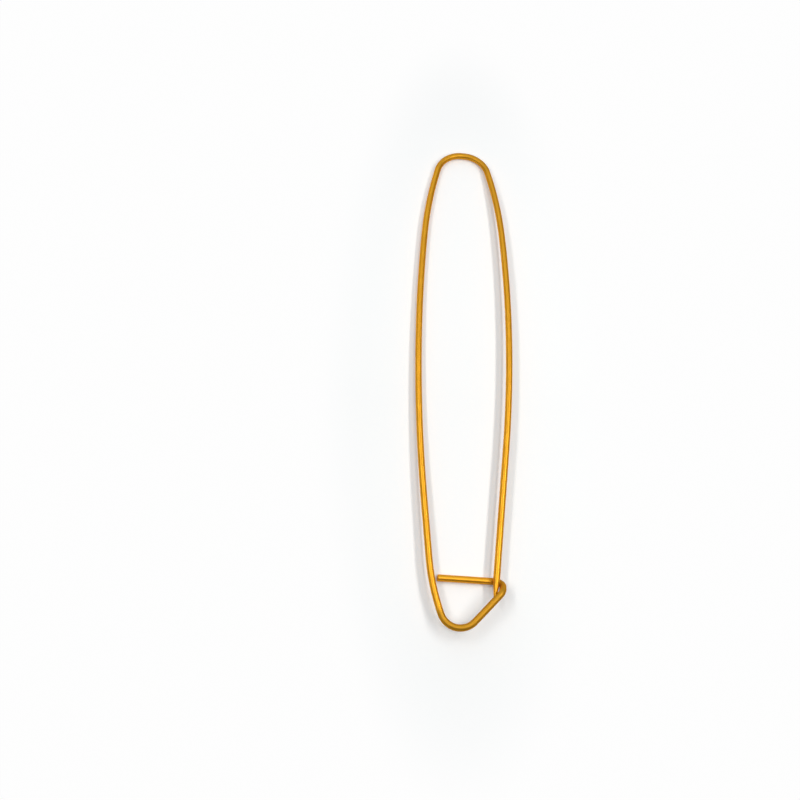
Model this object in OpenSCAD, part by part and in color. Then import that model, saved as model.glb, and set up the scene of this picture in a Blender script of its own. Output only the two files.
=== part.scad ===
// Stitch holder, a large safety-pin shape for holding open knitting stitches.
// One length of round aluminium wire is bent cold on pegs.
// From its sharp end the wire runs up the pin leg, round the crown,
// down the back leg, round the foot, up the ramp over the pin's tip,
// down round the outside of the pin, and back under it as the guard bar.
// The parts below are the working lengths of that one wire.
// Frame: X across, +Y towards the crown, Z up off the table, millimetres.
// The wire's path is a chain of corners, and each corner is rounded by a
// bend of its own radius, as on a bending board.

/* [Wire] */
// diameter of the wire
wire_d = 1.9; // [1.6:0.1:2.2]
// length ground to a point at the pin's end
point_length = 5.5; // [4:0.25:7]
// diameter left at the very tip, which is rounded over
tip_d = 0.9; // [0.7:0.1:1.1]
// bevel round the cut end of the guard bar
cut_bevel = 0.15; // [0.05:0.05:0.3]

/* [Crown] */
// width between the two corners of the crown
crown_width = 12.85; // [11:0.05:14]
// bend radius of the crown
crown_radius = 7.7; // [6:0.1:9]
// bend radius of both shoulders
shoulder_radius = 127; // [60:1:130]

/* [Back leg] */
// distance of the shoulder corner from the middle line
back_shoulder_offset = 11.1; // [10:0.1:12]
// distance of the shoulder corner below the crown
back_shoulder_drop = 17.85; // [14:0.05:20]
// height of the wire's centre at the shoulder
back_shoulder_height = 1.5; // [1.2:0.1:2]
// distance of the belly corner from the middle line, where the leg stands widest
back_belly_offset = 15.05; // [13.5:0.05:16.5]
// distance of the belly corner below the crown
back_belly_drop = 71.5; // [60:0.5:78]
// height of the wire's centre at the belly
back_belly_height = 1.95; // [1.5:0.05:2.6]
// bend radius of the long bow
back_belly_radius = 508; // [300:4:520]

/* [Pin leg] */
// distance of the shoulder corner from the middle line
pin_shoulder_offset = 10.95; // [10:0.05:12]
// distance of the shoulder corner below the crown
pin_shoulder_drop = 17.5; // [14:0.1:20]
// height of the wire's centre at the shoulder
pin_shoulder_height = 2.9; // [2:0.1:3.5]
// distance of the belly corner from the middle line, where the leg stands widest
pin_belly_offset = 15; // [13.5:0.05:16.5]
// distance of the belly corner below the crown
pin_belly_drop = 63.7; // [58:0.1:74]
// height of the wire's centre at the belly
pin_belly_height = 4; // [3:0.1:5]
// bend radius of the long bow
pin_belly_radius = 394; // [300:2:460]

/* [Foot] */
// distance of the ankle corner below the crown, which sets the length of both legs
ankle_drop = 136.35; // [130:0.05:150]
// distance of the ankle corner from the middle line
ankle_offset = 9.15; // [7.5:0.05:10]
// height of the wire's centre at the ankle
ankle_height = 3.55; // [3:0.05:4]
// bend radius of the ankle
ankle_radius = 60; // [30:1:70]
// length of the foot, from the ankle corner to the foot corner, along the holder
foot_length = 16.5; // [15:0.05:18.5]
// distance of the foot corner from the middle line
foot_offset = 3.6; // [2.5:0.1:4.5]
// height of the wire's centre at the foot corner
foot_height = 4; // [3.4:0.1:4.6]
// bend radius of the foot
foot_radius = 5.5; // [4:0.1:5.8]

/* [Pin end] */
// how far the pin's tip reaches past the ankle, along the holder
pin_reach = 3.9; // [3:0.1:4.6]
// distance of the pin's tip from the middle line
pin_offset = 8.45; // [7.8:0.05:9.6]

/* [Catch] */
// how far the pin's tip reaches past the guard bar, along the holder
tip_past_bar = 5.35; // [4.5:0.05:6]
// how far the bar's cut end is nearer the crown than its bent end
bar_lean = 0.55; // [0:0.05:0.8]
// distance of the bar's cut end from the middle line
bar_offset = 7.1; // [4:0.1:7.4]
// distance between the bar and the corner above the pin, along the pin
catch_step = 3.4; // [2.8:0.1:4]
// space between the guard bar and the pin above it
bar_gap = 0.65; // [0.4:0.05:0.9]
// sideways space between the pin and the catch corner beside it
side_gap = 0.4; // [0.35:0.05:1]
// how far the upper catch corner stands in from the lower one
catch_lean = 1; // [0.5:0.05:1.2]
// space between the pin's tip and the ramp above it, at the corner
ramp_gap = 0.8; // [0.6:0.05:1.2]
// bend radius of the upper catch bend
upper_radius = 2.4; // [1.6:0.1:2.6]
// bend radius of the lower catch bend
lower_radius = 2.3; // [1.6:0.1:2.4]

/* [Hidden] */
$fn = 48;
r = wire_d / 2;
// bends are drawn a hair thicker than straights, so that each straight can
// end just inside the bend beside it
hair = 0.01;
seat = 0.1;
metal = [0.86, 0.6, 0.18];
metal_dark = [0.8, 0.54, 0.15];

// distances below the crown that follow from the length of the legs
foot_drop = ankle_drop + foot_length;
pin_drop = ankle_drop + pin_reach;
bar_drop = pin_drop - tip_past_bar;
// heights that follow from the wire and the spaces at the catch
pin_height = 3 * r + bar_gap;
ramp_height = pin_height + r + tip_d / 2 + ramp_gap;

// where the pin leg stands at a distance y below the crown
function pin_x(y) = pin_belly_offset
    + (pin_offset - pin_belly_offset) * (y - pin_belly_drop) / (pin_drop - pin_belly_drop);

// small vector helpers
function unit(v) = v / norm(v);
function turn(a, c, b) = acos(unit(c - a) * unit(b - c));
function tangent(a, c, b, rad) = rad * tan(turn(a, c, b) / 2);
// the largest radius that a corner has room for, or the one asked for
function fit(rad, a, c, b, room) = min(rad, room / tan(turn(a, c, b) / 2));
function bend_in(a, c, b, rad) = c - unit(c - a) * tangent(a, c, b, rad);
function bend_out(a, c, b, rad) = c + unit(b - c) * tangent(a, c, b, rad);
function bend_in_dir(a, c, b) = unit(b - c - unit(c - a) * (unit(c - a) * (b - c)));
function bend_mid(a, c, b, rad) = bend_in(a, c, b, rad) + bend_in_dir(a, c, b) * rad;

// corners of the path, first as measured from the crown
crown_c = [0, 0, r];
a1 = [-crown_width / 2, 0, r];
a2 = [-back_shoulder_offset, -back_shoulder_drop, back_shoulder_height];
a3 = [-back_belly_offset, -back_belly_drop, back_belly_height];
a4 = [-ankle_offset, -ankle_drop, ankle_height];
a5 = [-foot_offset, -foot_drop, foot_height];
a7 = [pin_x(bar_drop) + wire_d + side_gap, -bar_drop, r];
a6 = [a7[0] - catch_lean, -bar_drop - catch_step, ramp_height];
a8 = [-bar_offset, -bar_drop + bar_lean, r];
b1 = [crown_width / 2, 0, r];
b2 = [pin_shoulder_offset, -pin_shoulder_drop, pin_shoulder_height];
b3 = [pin_belly_offset, -pin_belly_drop, pin_belly_height];
b4 = [pin_offset, -pin_drop, pin_height];

// radii, each kept within the room between its neighbours
r_crown_a = fit(crown_radius, crown_c, a1, a2, min(crown_width / 2 - 0.1, norm(a2 - a1) * 0.34));
r_crown_b = fit(crown_radius, crown_c, b1, b2, min(crown_width / 2 - 0.1, norm(b2 - b1) * 0.34));
r_shoulder_a = fit(shoulder_radius, a1, a2, a3, norm(a2 - a1) * 0.64);
r_shoulder_b = fit(shoulder_radius, b1, b2, b3, norm(b2 - b1) * 0.65);
r_belly_a = fit(back_belly_radius, a2, a3, a4, norm(a3 - a2) * 0.78);
r_belly_b = fit(pin_belly_radius, b2, b3, b4, norm(b3 - b2) * 0.74);
r_ankle = fit(ankle_radius, a3, a4, a5, norm(a5 - a4) * 0.44);
r_foot = fit(foot_radius, a4, a5, a6, norm(a5 - a4) * 0.54);
r_upper = fit(upper_radius, a5, a6, a7, norm(a7 - a6) * 0.3);
r_lower = fit(lower_radius, a6, a7, a8, norm(a7 - a6) * 0.5);

// how far a bend reaches from its middle along one axis, out to the wire's skin
function reach(a, c, b, rad, axis) = let (n = unit(cross(unit(c - a), unit(b - c))))
    rad * sqrt(1 - n[axis] * n[axis]) + r;

// half way between the widest places of the two legs
back_wide = bend_mid(a2, a3, a4, r_belly_a)[0] - reach(a2, a3, a4, r_belly_a, 0);
pin_wide = bend_mid(b2, b3, b4, r_belly_b)[0] + reach(b2, b3, b4, r_belly_b, 0);
mid_x = (back_wide + pin_wide) / 2;

// half way between the crown and the lowest place of the foot
foot_low = bend_mid(a4, a5, a6, r_foot)[1] - reach(a4, a5, a6, r_foot, 1);
mid_y = (r + foot_low) / 2;

// where the pin leg gives way to its point
b_dir = unit(b4 - b3);
point_start = b4 - b_dir * point_length;

// the origin is under the middle of the whole part, on the table
module placed() {
    translate([-mid_x, -mid_y, hair]) {
        children();
    }
}

// a straight piece of wire from p to q, let into the bends at either end
module rod(p, q, into_p, into_q) {
    v = q - p;
    translate(p - unit(v) * into_p) {
        rotate([0, acos(v[2] / norm(v)), atan2(v[1], v[0])]) {
            cylinder(h = norm(v) + into_p + into_q, r = r);
        }
    }
}

// a bent piece of wire at corner c, coming from a and going on to b
module bend(a, c, b, rad) {
    n = bend_in_dir(a, c, b);
    u = unit(c - a);
    m = bend_mid(a, c, b, rad);
    w = cross(-n, u);
    multmatrix([[-n[0], u[0], w[0], m[0]],
                [-n[1], u[1], w[1], m[1]],
                [-n[2], u[2], w[2], m[2]],
                [0, 0, 0, 1]]) {
        rotate_extrude(angle = turn(a, c, b), $fn = rad > 20 ? 1440 : 96) {
            translate([rad, 0]) {
                circle(r = r + hair, $fn = 48);
            }
        }
    }
}

// the spring: the top of the loop, from shoulder to shoulder
module crown_bend() {
    color(metal_dark) {
        placed() {
            bend(crown_c, a1, a2, r_crown_a);
            bend(crown_c, b1, b2, r_crown_b);
            rod(bend_in(crown_c, a1, a2, r_crown_a), bend_in(crown_c, b1, b2, r_crown_b), seat, seat);
        }
    }
}

// the fixed leg: shoulder, long bow and the straight down to the ankle
module back_leg() {
    color(metal) {
        placed() {
            rod(bend_out(crown_c, a1, a2, r_crown_a), bend_in(a1, a2, a3, r_shoulder_a), 0, seat);
            bend(a1, a2, a3, r_shoulder_a);
            rod(bend_out(a1, a2, a3, r_shoulder_a), bend_in(a2, a3, a4, r_belly_a), seat, seat);
            bend(a2, a3, a4, r_belly_a);
            rod(bend_out(a2, a3, a4, r_belly_a), bend_in(a3, a4, a5, r_ankle), seat, 0);
        }
    }
}

// ankle and foot: the rounded lower end
module foot_bend() {
    color(metal_dark) {
        placed() {
            bend(a3, a4, a5, r_ankle);
            rod(bend_out(a3, a4, a5, r_ankle), bend_in(a4, a5, a6, r_foot), seat, seat);
            bend(a4, a5, a6, r_foot);
        }
    }
}

// the straight that rises across the pin's tip
module ramp() {
    color(metal) {
        placed() {
            rod(bend_out(a4, a5, a6, r_foot), bend_in(a5, a6, a7, r_upper), 0, 0);
        }
    }
}

// the catch: over, down beside and under the pin
module catch_bend() {
    color(metal_dark) {
        placed() {
            bend(a5, a6, a7, r_upper);
            rod(bend_out(a5, a6, a7, r_upper), bend_in(a6, a7, a8, r_lower), seat, seat);
            bend(a6, a7, a8, r_lower);
        }
    }
}

// the straight under the pin, cut square with its edge broken
module guard_bar() {
    p = bend_out(a6, a7, a8, r_lower);
    v = a8 - p;
    color(metal) {
        placed() {
            translate(p) {
                rotate([0, acos(v[2] / norm(v)), atan2(v[1], v[0])]) {
                    cylinder(h = norm(v) - cut_bevel, r = r);
                    translate([0, 0, norm(v) - cut_bevel]) {
                        cylinder(h = cut_bevel, r1 = r, r2 = r - cut_bevel);
                    }
                }
            }
        }
    }
}

// the moving leg that carries the stitches
module pin_leg() {
    color(metal) {
        placed() {
            rod(bend_out(crown_c, b1, b2, r_crown_b), bend_in(b1, b2, b3, r_shoulder_b), 0, seat);
            bend(b1, b2, b3, r_shoulder_b);
            rod(bend_out(b1, b2, b3, r_shoulder_b), bend_in(b2, b3, b4, r_belly_b), seat, seat);
            bend(b2, b3, b4, r_belly_b);
            rod(bend_out(b2, b3, b4, r_belly_b), point_start, seat, 0);
        }
    }
}

// the ground point, a slim cone with a rounded tip
module pin_point() {
    color(metal_dark) {
        placed() {
            translate(point_start) {
                rotate([0, acos(b_dir[2]), atan2(b_dir[1], b_dir[0])]) {
                    cylinder(h = point_length - tip_d / 2, r1 = r, r2 = tip_d / 2);
                    translate([0, 0, point_length - tip_d / 2]) {
                        sphere(r = tip_d / 2);
                    }
                }
            }
        }
    }
}

crown_bend();
back_leg();
foot_bend();
ramp();
catch_bend();
guard_bar();
pin_leg();
pin_point();
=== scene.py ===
# %% [markdown]
# # A stitch holder in gold anodised wire
#
# A stitch holder keeps live knitting stitches safe, as a large safety pin would. This one is a
# single length of soft aluminium wire, a little under 2 mm thick, drawn through a die, ground to a
# point at one end, bent cold round pegs and dyed gold. There is no separate pin, rivet or clasp:
# the crown at the top is the spring, and the lower end of the wire is folded into the catch.
#
# The construction model already fixes every size. Here we give the wire its real surface and its
# light. The first cell brings the construction model in.

# %% Start from the construction model
import math

import bmesh
import bpy
import numpy as np
from mathutils import Matrix, Vector


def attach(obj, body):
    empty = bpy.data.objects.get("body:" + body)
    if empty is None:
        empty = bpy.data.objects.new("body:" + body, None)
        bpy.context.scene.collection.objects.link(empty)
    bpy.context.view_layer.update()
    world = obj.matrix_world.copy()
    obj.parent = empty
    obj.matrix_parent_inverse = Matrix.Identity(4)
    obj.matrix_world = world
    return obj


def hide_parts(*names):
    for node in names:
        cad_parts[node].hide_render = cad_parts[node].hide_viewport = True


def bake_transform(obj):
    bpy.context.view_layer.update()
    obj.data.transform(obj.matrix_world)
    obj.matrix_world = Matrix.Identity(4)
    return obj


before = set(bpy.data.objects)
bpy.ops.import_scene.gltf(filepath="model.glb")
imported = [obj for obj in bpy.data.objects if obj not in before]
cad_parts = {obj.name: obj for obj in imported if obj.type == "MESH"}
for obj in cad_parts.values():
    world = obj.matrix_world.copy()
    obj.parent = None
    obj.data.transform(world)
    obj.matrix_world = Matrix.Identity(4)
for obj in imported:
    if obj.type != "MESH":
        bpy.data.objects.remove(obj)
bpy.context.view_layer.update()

MM = 0.001

# %% [markdown]
# ## The camera
#
# The holder lies flat and is looked at from above, with the camera a little towards its foot and to
# its left. The camera is set first, because every later choice is judged through it. A camera needs
# a place and three directions: to its right, up, and backwards along its line of sight. Together
# these are the columns of its matrix. The lens is a short telephoto.

# %% Camera
def place_camera(place_mm, right, up, lens_mm):
    data = bpy.data.cameras.new("camera")
    data.sensor_fit = "HORIZONTAL"
    data.sensor_width = 36.0
    data.lens = lens_mm
    data.clip_start = 0.01
    data.clip_end = 20.0
    camera = bpy.data.objects.new("camera", data)
    bpy.context.scene.collection.objects.link(camera)
    right, up = Vector(right).normalized(), Vector(up).normalized()
    back = right.cross(up)
    turn = Matrix((right, up, back)).transposed().to_4x4()
    camera.matrix_world = Matrix.Translation(Vector(place_mm) * MM) @ turn
    bpy.context.scene.camera = camera
    return camera


camera = place_camera((-45.564, -98.495, 263.864), (0.993851, 0.019770, 0.108951),
                      (-0.053430, 0.947430, 0.315469), 43.18)
bpy.context.scene.view_settings.view_transform = "Standard"
print("camera stands", round(camera.location.length * 1000), "mm away")

# %% [markdown]
# ## The path of the wire
#
# A bender works from a list of corners, each with the radius of the peg it is pulled round. So do
# we: these are the corners from the pin's tip up the pin leg, over the crown, down the back leg and
# round the foot into the catch, in millimetres, as measured from the top of the crown. They are the
# same numbers as in the construction model, so the dressed wire lies exactly where its plain
# version does.

# %% Sizes and corners, in millimetres
WIRE = 1.9
RADIUS = WIRE / 2
POINT_LENGTH = 5.5
TIP = 0.9
CUT_BEVEL = 0.15
HAIR = 0.01

PIN_TIP = (8.45, -140.25, 3.5)
PIN_BELLY = (15.0, -63.7, 4.0)
BAR_END = (-7.1, -134.35, RADIUS)
BAR_AT_PIN = -134.9
RAMP_AT_PIN = -138.3
RAMP_HEIGHT = 5.7
SIDE_GAP = 0.4
CATCH_LEAN = 1.0


def pin_side(y):
    """How far across the middle of the pin lies, at this distance along the holder."""
    share = (y - PIN_BELLY[1]) / (PIN_TIP[1] - PIN_BELLY[1])
    return PIN_BELLY[0] + (PIN_TIP[0] - PIN_BELLY[0]) * share


lower = (pin_side(BAR_AT_PIN) + WIRE + SIDE_GAP, BAR_AT_PIN, RADIUS)
upper = (lower[0] - CATCH_LEAN, RAMP_AT_PIN, RAMP_HEIGHT)

# name, corner, radius, and how much of the room beside it the bend may use
CORNERS = [
    ("pin belly", PIN_BELLY, 394.0, ("after", 0.74)),
    ("pin shoulder", (10.95, -17.5, 2.9), 127.0, ("after", 0.65)),
    ("pin crown", (6.425, 0.0, RADIUS), 7.7, ("crown", 0.34)),
    ("back crown", (-6.425, 0.0, RADIUS), 7.7, ("crown", 0.34)),
    ("back shoulder", (-11.1, -17.85, 1.5), 127.0, ("before", 0.64)),
    ("back belly", (-15.05, -71.5, 1.95), 508.0, ("before", 0.78)),
    ("ankle", (-9.15, -136.35, 3.55), 60.0, ("after", 0.44)),
    ("foot", (-3.6, -152.85, 4.0), 5.5, ("before", 0.54)),
    ("upper catch", upper, 2.4, ("after", 0.3)),
    ("lower catch", lower, 2.3, ("before", 0.5)),
]
print(len(CORNERS), "bends between the tip and the cut end")

# %% [markdown]
# ## From corners to one smooth line
#
# Between two pegs the wire stays straight, and round a peg it follows an arc that just touches both
# straights. For each corner we need where the arc starts, the middle of its circle and how far it
# turns, and then it can be walked in small steps. Tight bends get a step every four degrees. The
# straights get a few stops too, closer together on the straight across the crown.

# %% Walk the path
def unit(v):
    return v / np.linalg.norm(v)


def arc(before, corner, after, radius):
    """Start, centre, directions and angle of the bend that rounds this corner."""
    u, v = unit(corner - before), unit(after - corner)
    angle = math.acos(float(np.clip(u @ v, -1, 1)))
    inward = unit(v - u * (u @ v))
    start = corner - u * radius * math.tan(angle / 2)
    return start, start + inward * radius, u, inward, angle


def walk(step_degrees=4.0, longest=2.5, longest_over_crown=0.4):
    stops = [np.array(PIN_TIP)] + [np.array(c[1]) for c in CORNERS] + [np.array(BAR_END)]
    points, marks = [stops[0]], {}
    for i, (name, _, radius, (side, share)) in enumerate(CORNERS, start=1):
        a, c, b = stops[i - 1], stops[i], stops[i + 1]
        half = math.tan(math.acos(float(np.clip(unit(c - a) @ unit(b - c), -1, 1))) / 2)
        room = {"before": np.linalg.norm(c - a) * share, "after": np.linalg.norm(b - c) * share}
        if side == "crown":
            leg = a if name == "pin crown" else b
            room["crown"] = min(abs(c[0]) - 0.1, np.linalg.norm(leg - c) * share)
        radius = min(radius, room[side] / half)
        start, centre, along, inward, angle = arc(a, c, b, radius)
        left = points[-1]
        gap = longest_over_crown if name == "back crown" else longest
        count = max(1, math.ceil(np.linalg.norm(start - left) / gap))
        for share in np.linspace(0, 1, count + 1)[1:]:
            points.append(left + (start - left) * share)
        marks[name + " in"] = len(points) - 1
        count = max(math.ceil(math.degrees(angle) / step_degrees),
                    math.ceil(angle * radius / longest))
        for s in np.linspace(0, angle, count + 1)[1:]:
            points.append(centre - inward * radius * math.cos(s) + along * radius * math.sin(s))
        marks[name + " out"] = len(points) - 1
    points.append(stops[-1])
    return np.array(points), marks


raw, marks = walk()
print(len(raw), "stops on the path")

# %% [markdown]
# ## Ends of the wire
#
# The pin's end is ground to a slim cone and its tip is rubbed round, so that it slides between
# stitches without splitting the yarn. The other end is simply cut square, and its edge is broken.
# Both are changes of thickness along the path, so each stop on the path also carries a thickness:
# 1 is the full wire. Where the thickness changes we add stops of our own.

# %% Thickness along the path
def add_ends(points, steps=10):
    run = unit(points[1] - points[0])
    tip_r = TIP / 2
    ends, thick = [], []
    for degrees in (4, 14, 26, 38, 50, 62, 75, 90):
        s = math.radians(degrees)
        ends.append(points[0] + run * tip_r * (1 - math.cos(s)))
        thick.append(tip_r * math.sin(s) / RADIUS)
    for k in range(1, steps + 1):
        far = tip_r + (POINT_LENGTH - tip_r) * k / steps
        ends.append(points[0] + run * far)
        thick.append((tip_r + (RADIUS - tip_r) * k / steps) / RADIUS)
    point_stop = len(ends) - 1
    later = [p for i, p in enumerate(points[1:])
             if i > 8 or np.linalg.norm(p - points[0]) > POINT_LENGTH + 0.3]
    back = unit(later[-2] - later[-1])
    cut = later[-1]
    later = later[:-1] + [cut + back * (CUT_BEVEL + 0.4), cut + back * CUT_BEVEL, cut]
    thick += [1.0] * (len(later) - 1) + [1 - CUT_BEVEL / RADIUS]
    return np.array(ends + later), np.array(thick), point_stop


points, thick, point_stop = add_ends(raw)
lowest_foot = raw[marks["foot in"]:marks["foot out"] + 1, 1].min() - RADIUS
points[:, 0] -= (points[:, 0].min() + points[:, 0].max()) / 2
points[:, 1] -= (RADIUS + lowest_foot) / 2
points[:, 2] += HAIR
travel = np.concatenate([[0], np.cumsum(np.linalg.norm(np.diff(points, axis=0), axis=1))])
before_ends = np.concatenate([[0], np.cumsum(np.linalg.norm(np.diff(raw, axis=0), axis=1))])
wire_mm = {name: float(before_ends[stop]) for name, stop in marks.items()}
print("wire length", round(float(travel[-1]), 1), "mm, ground point", POINT_LENGTH, "mm")

# %% [markdown]
# ## Where the wire is divided
#
# The real wire has no joints, but it moves in three ways: the back leg with the foot and the catch
# stay put, the pin leg swings, and the crown flexes between them. So the line is divided into
# stretches, each with its own way of moving: ground point, pin leg, crown and the fixed frame. The
# cuts on either side of the crown lie in straight wire, a little past each bend, where the two
# surfaces meet without a crease.

# %% Stretches of the wire
def stop_near(y_from_top, side):
    """The stop on that side of the crown that lies nearest to this distance below it."""
    top = points[:, 1].max()
    score = np.abs(points[:, 1] - (top - y_from_top)) + (np.sign(points[:, 0]) != side) * 1000
    return int(np.argmin(score))


CROWN_DEPTH = 8.2
pin_cut = stop_near(CROWN_DEPTH, 1)
back_cut = stop_near(CROWN_DEPTH, -1)
STRETCHES = {
    "pin_point": (0, point_stop),
    "pin_leg": (point_stop, pin_cut),
    "crown": (pin_cut, back_cut),
    "fixed_frame": (back_cut, len(points) - 1),
}
for name, (a, b) in STRETCHES.items():
    print(f"{name}: {travel[b] - travel[a]:.1f} mm of wire")

# %% [markdown]
# ## Sweeping the wire
#
# A wire is a circle carried along a line, which is exactly what Geometry Nodes do well, and far
# less work than extruding by hand. The tree turns the line into a curve, carries a circle along it
# with as little twist as possible, and keeps only the asked stretch. It also leaves a note on every
# point of the surface, called wire_at: how far along the wire it is, and where on the circle. All
# patterns in the finish are drawn in those coordinates, so they follow the wire round each bend and
# run on without a break from one stretch to the next.

# %% The sweep as a node tree
def wire_tree():
    tree = bpy.data.node_groups.new("wire_sweep", "GeometryNodeTree")
    face = tree.interface
    face.new_socket("Geometry", in_out="INPUT", socket_type="NodeSocketGeometry")
    for label, kind, value in (("Wire radius", "NodeSocketFloat", RADIUS * MM),
                               ("Sides", "NodeSocketInt", 48),
                               ("From", "NodeSocketFloat", 0.0), ("To", "NodeSocketFloat", 1.0),
                               ("Finish", "NodeSocketMaterial", None)):
        socket = face.new_socket(label, in_out="INPUT", socket_type=kind)
        if value is not None:
            socket.default_value = value
    face.new_socket("Geometry", in_out="OUTPUT", socket_type="NodeSocketGeometry")

    def node(kind, settings=None, **links):
        n = tree.nodes.new(kind)
        for key, value in (settings or {}).items():
            setattr(n, key, value)
        for key, value in links.items():
            socket = n.inputs[int(key[1:])] if key[0] == "i" else n.inputs[key]
            if isinstance(value, bpy.types.NodeSocket):
                tree.links.new(value, socket)
            else:
                socket.default_value = value
        return n

    given = node("NodeGroupInput").outputs
    read_thick = node("GeometryNodeInputNamedAttribute", {"data_type": "FLOAT"}, i0="thick")
    line = node("GeometryNodeMeshToCurve", Mesh=given["Geometry"])
    thickened = node("GeometryNodeSetCurveRadius", Curve=line.outputs[0])
    tree.links.new(read_thick.outputs[0], thickened.inputs["Radius"])
    circle = node("GeometryNodeCurvePrimitiveCircle", {"mode": "RADIUS"},
                  Resolution=given["Sides"], Radius=given["Wire radius"])
    place = node("GeometryNodeInputPosition")
    noted = node("GeometryNodeStoreNamedAttribute", {"data_type": "FLOAT_VECTOR", "domain": "POINT"},
                 Geometry=circle.outputs["Curve"], Name="on_circle", Value=place.outputs[0])
    swept = node("GeometryNodeCurveToMesh", Curve=thickened.outputs[0])
    tree.links.new(noted.outputs[0], swept.inputs["Profile Curve"])
    swept.inputs["Fill Caps"].default_value = True
    if "Scale" in swept.inputs:
        tree.links.new(read_thick.outputs[0], swept.inputs["Scale"])

    read_along = node("GeometryNodeInputNamedAttribute", {"data_type": "FLOAT"}, i0="along")
    read_circle = node("GeometryNodeInputNamedAttribute", {"data_type": "FLOAT_VECTOR"},
                       i0="on_circle")
    parts = node("ShaderNodeSeparateXYZ", Vector=read_circle.outputs[0])
    joined = node("ShaderNodeCombineXYZ", X=read_along.outputs[0], Y=parts.outputs[0],
                  Z=parts.outputs[1])
    wired = node("GeometryNodeStoreNamedAttribute", {"data_type": "FLOAT_VECTOR", "domain": "POINT"},
                 Geometry=swept.outputs[0], Name="wire_at", Value=joined.outputs[0])
    before = node("FunctionNodeCompare", {"data_type": "FLOAT", "operation": "LESS_THAN"},
                  i0=read_along.outputs[0], i1=given["From"])
    beyond = node("FunctionNodeCompare", {"data_type": "FLOAT", "operation": "GREATER_THAN"},
                  i0=read_along.outputs[0], i1=given["To"])
    outside = node("FunctionNodeBooleanMath", {"operation": "OR"}, i0=before.outputs[0],
                   i1=beyond.outputs[0])
    kept = node("GeometryNodeDeleteGeometry", {"domain": "FACE", "mode": "ALL"},
                Geometry=wired.outputs[0], Selection=outside.outputs[0])
    real = node("GeometryNodeRealizeInstances", Geometry=kept.outputs[0])
    dressed = node("GeometryNodeSetMaterial", Geometry=real.outputs[0], Material=given["Finish"])
    out = node("NodeGroupOutput")
    tree.links.new(dressed.outputs[0], out.inputs[0])
    return tree


sweep = wire_tree()
print("sweep tree:", len(sweep.nodes), "nodes")

# %% [markdown]
# ## Turning a stretch into a mesh
#
# The tree runs on a helper object, which holds the line. Its result is copied into a plain mesh, so
# that nothing live is left on the finished piece. Each open end is closed with a flat face, edges
# sharper than thirty degrees are kept crisp, and everything else is smooth.

# %% From line to piece
def line_object():
    mesh = bpy.data.meshes.new("wire_line")
    mesh.from_pydata([tuple(p * MM) for p in points], [(i, i + 1) for i in range(len(points) - 1)], [])
    for name, values in (("thick", thick), ("along", travel * MM)):
        mesh.attributes.new(name, "FLOAT", "POINT").data.foreach_set(
            "value", values.astype(np.float32))
    helper = bpy.data.objects.new("wire_line", mesh)
    bpy.context.scene.collection.objects.link(helper)
    return helper


def close_and_sharpen(mesh):
    shell = bmesh.new()
    shell.from_mesh(mesh)
    bmesh.ops.remove_doubles(shell, verts=shell.verts, dist=1e-7)
    bmesh.ops.holes_fill(shell, edges=[e for e in shell.edges if e.is_boundary], sides=0)
    bmesh.ops.recalc_face_normals(shell, faces=shell.faces)
    for f in shell.faces:
        f.smooth = len(f.verts) <= 4
    for e in shell.edges:
        e.smooth = e.calc_face_angle(0) < math.radians(30)
    left_open = sum(e.is_boundary for e in shell.edges)
    shell.to_mesh(mesh)
    shell.free()
    return left_open


def make_stretch(name, finish):
    first, last = STRETCHES[name]
    helper = line_object()
    modifier = helper.modifiers.new("sweep", "NODES")
    modifier.node_group = sweep
    sockets = {s.name: s.identifier for s in sweep.interface.items_tree if s.in_out == "INPUT"}
    modifier[sockets["Wire radius"]] = RADIUS * MM
    modifier[sockets["Sides"]] = 48
    modifier[sockets["From"]] = float(travel[first]) * MM - 1e-6
    modifier[sockets["To"]] = float(travel[last]) * MM + 1e-6
    modifier[sockets["Finish"]] = finish
    seen = helper.evaluated_get(bpy.context.evaluated_depsgraph_get())
    mesh = bpy.data.meshes.new_from_object(seen)
    bpy.data.objects.remove(helper)
    left_open = close_and_sharpen(mesh)
    mesh.materials.clear()
    mesh.materials.append(finish)
    piece = bpy.data.objects.new(name + "_wire", mesh)
    bpy.context.scene.collection.objects.link(piece)
    print(f"{piece.name}: {len(mesh.polygons)} faces, {left_open} open edges")
    return piece


print("pieces to make:", ", ".join(STRETCHES))

# %% [markdown]
# ## A short way to write finishes
#
# A finish is a set of shader nodes. Wiring them by hand hides the idea behind the wires, so two
# small helpers come first. Value wraps a socket, so that sums such as 1 - mask can be written as
# sums. Finish holds one material, and its node method makes any other node.

# %% Helpers for finishes
class Value:
    """A number, colour or vector inside a finish, which can be used in a sum."""

    def __init__(self, finish, socket):
        self.finish, self.socket = finish, socket

    def sum(self, operation, a, b):
        return self.finish.node("ShaderNodeMath", {"operation": operation}, {0: a, 1: b})

    def __add__(self, other):
        return self.sum("ADD", self, other)

    def __radd__(self, other):
        return self.sum("ADD", other, self)

    def __sub__(self, other):
        return self.sum("SUBTRACT", self, other)

    def __rsub__(self, other):
        return self.sum("SUBTRACT", other, self)

    def __mul__(self, other):
        return self.sum("MULTIPLY", self, other)

    def __rmul__(self, other):
        return self.sum("MULTIPLY", other, self)

    def __truediv__(self, other):
        return self.sum("DIVIDE", self, other)

    def __pow__(self, other):
        return self.sum("POWER", self, other)


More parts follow.
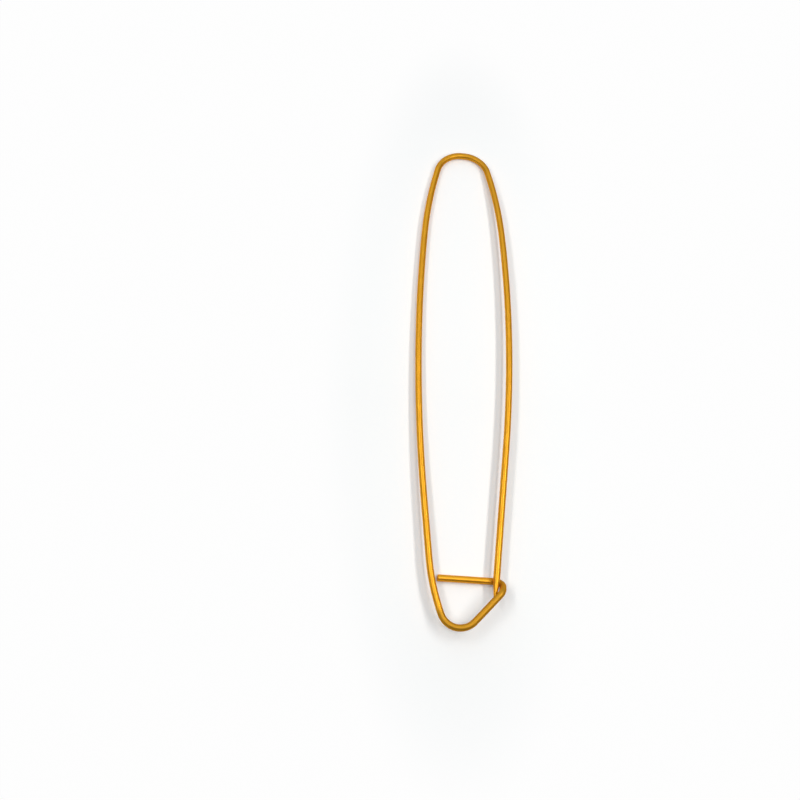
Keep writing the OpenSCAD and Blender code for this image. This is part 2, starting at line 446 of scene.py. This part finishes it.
class Finish:
    """One material, or the room's light, and the making of its nodes."""

    def __init__(self, name, world=False):
        self.ending = "ShaderNodeOutputWorld" if world else "ShaderNodeOutputMaterial"
        self.material = (bpy.data.worlds if world else bpy.data.materials).new(name)
        self.material.use_nodes = True
        self.tree = self.material.node_tree
        self.tree.nodes.clear()

    def node(self, kind, settings=None, inputs=None, output=0):
        n = self.tree.nodes.new(kind)
        for key, value in (settings or {}).items():
            if key == "stops":
                ramp = n.color_ramp
                while len(ramp.elements) < len(value):
                    ramp.elements.new(0.5)
                for element, (at, colour) in zip(ramp.elements, value):
                    element.position, element.color = at, colour
            else:
                setattr(n, key, value)
        for key, value in (inputs or {}).items():
            socket = n.inputs[key]
            if isinstance(value, Value):
                self.tree.links.new(value.socket, socket)
            else:
                socket.default_value = value
        return Value(self, n.outputs[output])

    def wire_at(self, along, around):
        """Coordinates on the wire, stretched by one factor along it and by another around it."""
        place = self.node("ShaderNodeAttribute", {"attribute_name": "wire_at"}, output=1)
        return self.node("ShaderNodeMapping", {"vector_type": "POINT"},
                         {"Vector": place, "Scale": (along, around, around)})

    def distance(self):
        """How far along the wire this point is, in metres from the pin's tip."""
        place = self.node("ShaderNodeAttribute", {"attribute_name": "wire_at"}, output=1)
        return self.node("ShaderNodeSeparateXYZ", None, {0: place})

    def between(self, value, low, high, soft):
        """1 between low and high, fading to 0 over a length called soft on either side."""
        return self.ramp(value, low - soft, low) - self.ramp(value, high, high + soft)

    def noise(self, at, scale, detail=3.0, roughness=0.5):
        return self.node("ShaderNodeTexNoise", {"noise_dimensions": "3D"},
                         {"Vector": at, "Scale": scale, "Detail": detail, "Roughness": roughness})

    def ramp(self, value, low, high):
        """0 below low, 1 above high, and an even slope between them."""
        return self.node("ShaderNodeMapRange", {"clamp": True},
                         {"Value": value, "From Min": low, "From Max": high})

    def mix(self, amount, a, b):
        return self.node("ShaderNodeMix", {"data_type": "RGBA"},
                         {0: amount, 6: a, 7: b}, output=2)

    def looked_at(self):
        """1 for what the camera sees directly."""
        return self.node("ShaderNodeLightPath", output="Is Camera Ray")

    def mirrored(self):
        """1 for what is seen in a reflection or through glass."""
        return (self.node("ShaderNodeLightPath", output="Is Glossy Ray")
                + self.node("ShaderNodeLightPath", output="Is Transmission Ray"))

    def done(self, shader):
        out = self.tree.nodes.new(self.ending)
        self.tree.links.new(shader.socket, out.inputs["Surface"])
        return self.material


print("finish helpers ready")

# %% [markdown]
# ## Gold anodised wire
#
# Anodising grows a thin clear skin on aluminium, and a dye in that skin gives the gold. The metal
# still reflects under it, so the finish is a metal with a golden colour and not a yellow paint, and
# the skin makes it satin rather than mirror bright. Three things keep it from looking like plastic.
# The die leaves fine lines along the wire, seen as long streaks in its shine. The dye takes a
# little unevenly over a few millimetres. And the wire has been handled: faint scuffs, mostly short
# and along it, show paler than the rest.
#
# Over the crown, and from the foot round to the catch, the gold is darker, browner and a little
# rougher: fully at the foot and the catch, about half as much at the crown.

# %% The gold finish
GOLD = (0.84, 0.40, 0.030, 1.0)
GOLD_DEEP = (0.64, 0.27, 0.016, 1.0)
GOLD_PALE = (0.93, 0.56, 0.12, 1.0)
GOLD_DULL = (0.58, 0.285, 0.024, 1.0)
GOLD_EDGE = (0.72, 0.42, 0.13, 1.0)
LINE_DEPTH = 0.02 * MM

# from and to, in millimetres along the wire, and how strongly the gold is darkened and dulled there
DULL_SPANS = [(wire_mm["pin crown in"] + 1, wire_mm["back crown out"] - 1, 0.5),
          (wire_mm["foot in"], wire_mm["lower catch out"], 1.0)]


def gold_finish(name, roughness, lines, scuffs):
    f = Finish(name)
    dulled = 0.0
    for start, end, strength in DULL_SPANS:
        dulled = f.between(f.distance(), start * MM, end * MM, 2 * MM) * strength + dulled
    streaks = f.noise(f.wire_at(30, 6000), 1.0, 4.0, 0.6)
    fine = f.noise(f.wire_at(90, 15000), 1.0, 2.0, 0.5)
    patches = f.noise(f.wire_at(260, 900), 1.0, 3.0, 0.55)
    grain = f.noise(f.wire_at(9000, 9000), 1.0, 2.0, 0.5)
    scuff = f.ramp(f.noise(f.wire_at(500, 2600), 1.0, 3.0, 0.6), 0.66, 0.74) * scuffs
    deep = f.ramp(patches, 0.35, 0.75) * 0.45 + f.ramp(streaks, 0.5, 0.8) * 0.2
    colour = f.mix(deep, GOLD, GOLD_DEEP)
    colour = f.mix(scuff, colour, GOLD_PALE)
    # darker, browner gold over the spans listed above, the crown and the foot to the catch
    colour = f.mix(dulled, colour, GOLD_DULL)
    rough = roughness + (streaks - 0.5) * 0.18 + (patches - 0.5) * 0.1 + scuff * 0.12 + dulled * 0.1
    height = streaks * 0.5 + fine * 0.3 + grain * 0.2 - scuff * 0.3
    bump = f.node("ShaderNodeBump", None,
                  {"Strength": lines, "Distance": LINE_DEPTH, "Height": height})
    return f.done(f.node("ShaderNodeBsdfPrincipled", None,
                         {"Base Color": colour, "Metallic": 0.9, "Roughness": rough,
                          "Normal": bump, "Specular Tint": GOLD_EDGE}))


gold_wire = gold_finish("gold_anodised_wire", 0.42, 0.35, 0.5)
gold_pin = gold_finish("gold_pin_wire", 0.39, 0.3, 0.35)
print("made", gold_wire.name, "and", gold_pin.name)

# %% [markdown]
# ## The ground point
#
# The point is turned against a fine abrasive belt before dyeing, so its lines run round the cone
# and not along it. Rings are easy in the wire's own coordinates: a wave that repeats along the
# wire and does not change around it.

# %% The point's finish
def point_finish(name):
    f = Finish(name)
    rings = f.noise(f.wire_at(14000, 120), 1.0, 3.0, 0.6)
    patches = f.noise(f.wire_at(400, 900), 1.0, 2.0, 0.5)
    colour = f.mix(f.ramp(patches, 0.3, 0.8) * 0.6, GOLD, GOLD_DEEP)
    colour = f.mix(f.ramp(rings, 0.55, 0.75) * 0.3, colour, GOLD_PALE)
    rough = 0.4 + (rings - 0.5) * 0.2
    bump = f.node("ShaderNodeBump", None,
                  {"Strength": 0.4, "Distance": LINE_DEPTH, "Height": rings})
    return f.done(f.node("ShaderNodeBsdfPrincipled", None,
                         {"Base Color": colour, "Metallic": 0.9, "Roughness": rough,
                          "Normal": bump, "Specular Tint": GOLD_EDGE}))


gold_point = point_finish("gold_ground_point")
print("made", gold_point.name)

# %% [markdown]
# ## Making the four stretches
# Each stretch is made and takes the place of the plain lengths of wire that it covers. The point,
# the pin leg and the fixed frame are also tied to the body they move with.

# %% The fixed frame and the pin
fixed = make_stretch("fixed_frame", gold_wire)
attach(fixed, "wire_frame")
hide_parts("back_leg", "foot_bend", "ramp", "catch_bend", "guard_bar")

pin = make_stretch("pin_leg", gold_pin)
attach(pin, "pin")
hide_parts("pin_leg")

tip = make_stretch("pin_point", gold_point)
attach(tip, "pin")
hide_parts("pin_point")

# %% [markdown]
# ## The crown
#
# The crown is the only spring. When the pin is pressed sideways out of the catch, the wire of the
# crown takes the whole turn, most of it near the middle. Here the crown is made as a piece of its
# own, its place is baked into its mesh, and the plain crown bend is hidden.

# %% The crown, made as its own piece
crown = make_stretch("crown", gold_wire)
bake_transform(crown)
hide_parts("crown_bend")

# %% [markdown]
# ## The table
#
# A plain white top, matt like card. It is the object's background and also half of what the wire
# reflects, so it reaches well past the picture. Near the holder it is lit and shaded as any card is.
# Farther out it should simply be white, however the lamps fall off, so there it shows one even
# white. A Light Path node sees to that: only what the camera sees, directly or mirrored in the
# wire, takes that white, and no extra light falls on the holder. It also lifts the card near the
# holder by a few parts in a hundred, most beyond the ends of the lamps by the crown, and slightly
# more in blue, against the lamps' warmth.

# %% Table top
PAPER_WHITE = (0.985, 0.985, 0.985, 1.0)
PAPER_LIFT = (0.046, 0.056, 0.070, 1.0)
PAPER_LIFT_CROWN = (0.125, 0.132, 0.145, 1.0)
BLACK = (0.0, 0.0, 0.0, 1.0)
SHADED_WIDE = 0.0316
SHADED_LONG = 0.0883


def table_top(half=1.2):
    mesh = bpy.data.meshes.new("table_top")
    mesh.from_pydata([(-half, -half, 0), (half, -half, 0), (half, half, 0), (-half, half, 0)], [],
                     [(0, 1, 2, 3)])
    top = bpy.data.objects.new("table_top", mesh)
    bpy.context.scene.collection.objects.link(top)
    f = Finish("white_card")
    place = f.node("ShaderNodeTexCoord", output=3)
    fibre = f.noise(place, 900.0, 3.0, 0.6)
    card = f.mix(fibre, (0.95, 0.95, 0.95, 1.0), (0.93, 0.93, 0.93, 1.0))
    x, y = (f.node("ShaderNodeSeparateXYZ", None, {0: place}, output=k) for k in range(2))
    away = (x * x / SHADED_WIDE ** 2 + y * y / SHADED_LONG ** 2) ** 0.5
    far = f.node("ShaderNodeMapRange", {"interpolation_type": "SMOOTHSTEP"},
                 {"Value": away, "From Min": 0.90, "From Max": 1.40})
    seen = f.looked_at() + f.mirrored()
    colour = f.mix(seen * far, card, BLACK)
    lift = f.mix(f.ramp(y, -0.01, 0.08), PAPER_LIFT, PAPER_LIFT_CROWN)
    glow = f.mix(seen * far, f.mix(seen, BLACK, lift), PAPER_WHITE)
    mesh.materials.append(f.done(f.node("ShaderNodeBsdfPrincipled", None,
                                        {"Base Color": colour, "Roughness": 0.9,
                                         "Emission Color": glow, "Emission Strength": 1.0,
                                         "Specular IOR Level": 0.1})))
    return top


table_top()
print("table top laid")

# %% [markdown]
# ## The light
#
# Two long tubes hang over the table, one at each side, in line with the holder. Each draws one
# thin bright line down the wire and throws one soft shadow to the far side. The one on the right
# is a little stronger. They shine beside the foot and the legs and end near the crown, which is
# therefore duller. A small panel high above the foot lights the wires that run across, and throws
# their shadows under them.
#
# The room gives the rest: dim from the foot's side, brighter from high beyond the crown, and a
# little cooler than the lamps, so that the shadows come out a plain grey. The camera, where it looks
# past the table, sees the same white as the table, as in front of a white paper sweep.

# %% Two tubes, a panel and the room
LAMP = (1.0, 0.965, 0.915)
SKY = (0.93, 1.0, 1.035, 1.0)
WHITE = (1.0, 1.0, 1.0, 1.0)
DIM_ROOM = 0.04


def tube(name, x, z, width, near, far, power, colour):
    length = far - near
    data = bpy.data.lights.new(name, "AREA")
    data.shape = "RECTANGLE"
    data.size, data.size_y = width, length
    data.energy = power
    data.color = colour
    lamp = bpy.data.objects.new(name, data)
    bpy.context.scene.collection.objects.link(lamp)
    lamp.location = (x, (near + far) / 2, z)
    lamp.rotation_euler = (0.0, math.atan2(x, z), 0.0)
    return lamp


tube("tube_right", 0.145, 0.235, 0.03, -0.16, 0.105, 0.330, LAMP)
tube("tube_left", -0.15, 0.225, 0.03, -0.16, 0.11, 0.228, LAMP)
tube("ceiling_panel", 0.12, 0.75, 0.10, -0.17, -0.07, 0.82, WHITE[:3])


def room():
    f = Finish("room", world=True)
    toward = f.node("ShaderNodeTexCoord", output=0)
    east, north, up = (f.node("ShaderNodeSeparateXYZ", None, {0: toward}, output=k)
                    for k in range(3))
    slant = f.node("ShaderNodeMath", {"operation": "MAXIMUM"},
                   {0: north * 0.72 + up * 0.67 - east * 0.18, 1: 0.0})
    level = DIM_ROOM + slant ** 3.0
    sweep_up = (f.looked_at() * (1.0 - f.ramp(up, 0.14, 0.26))
                + f.mirrored() * (1.0 - f.ramp(up, 0.0, 0.05)))
    colour = f.mix(sweep_up, SKY, WHITE)
    strength = level * (1.0 - sweep_up) + sweep_up * PAPER_WHITE[0]
    return f.done(f.node("ShaderNodeBackground", None, {"Color": colour, "Strength": strength}))


bpy.context.scene.world = room()
print("light set")
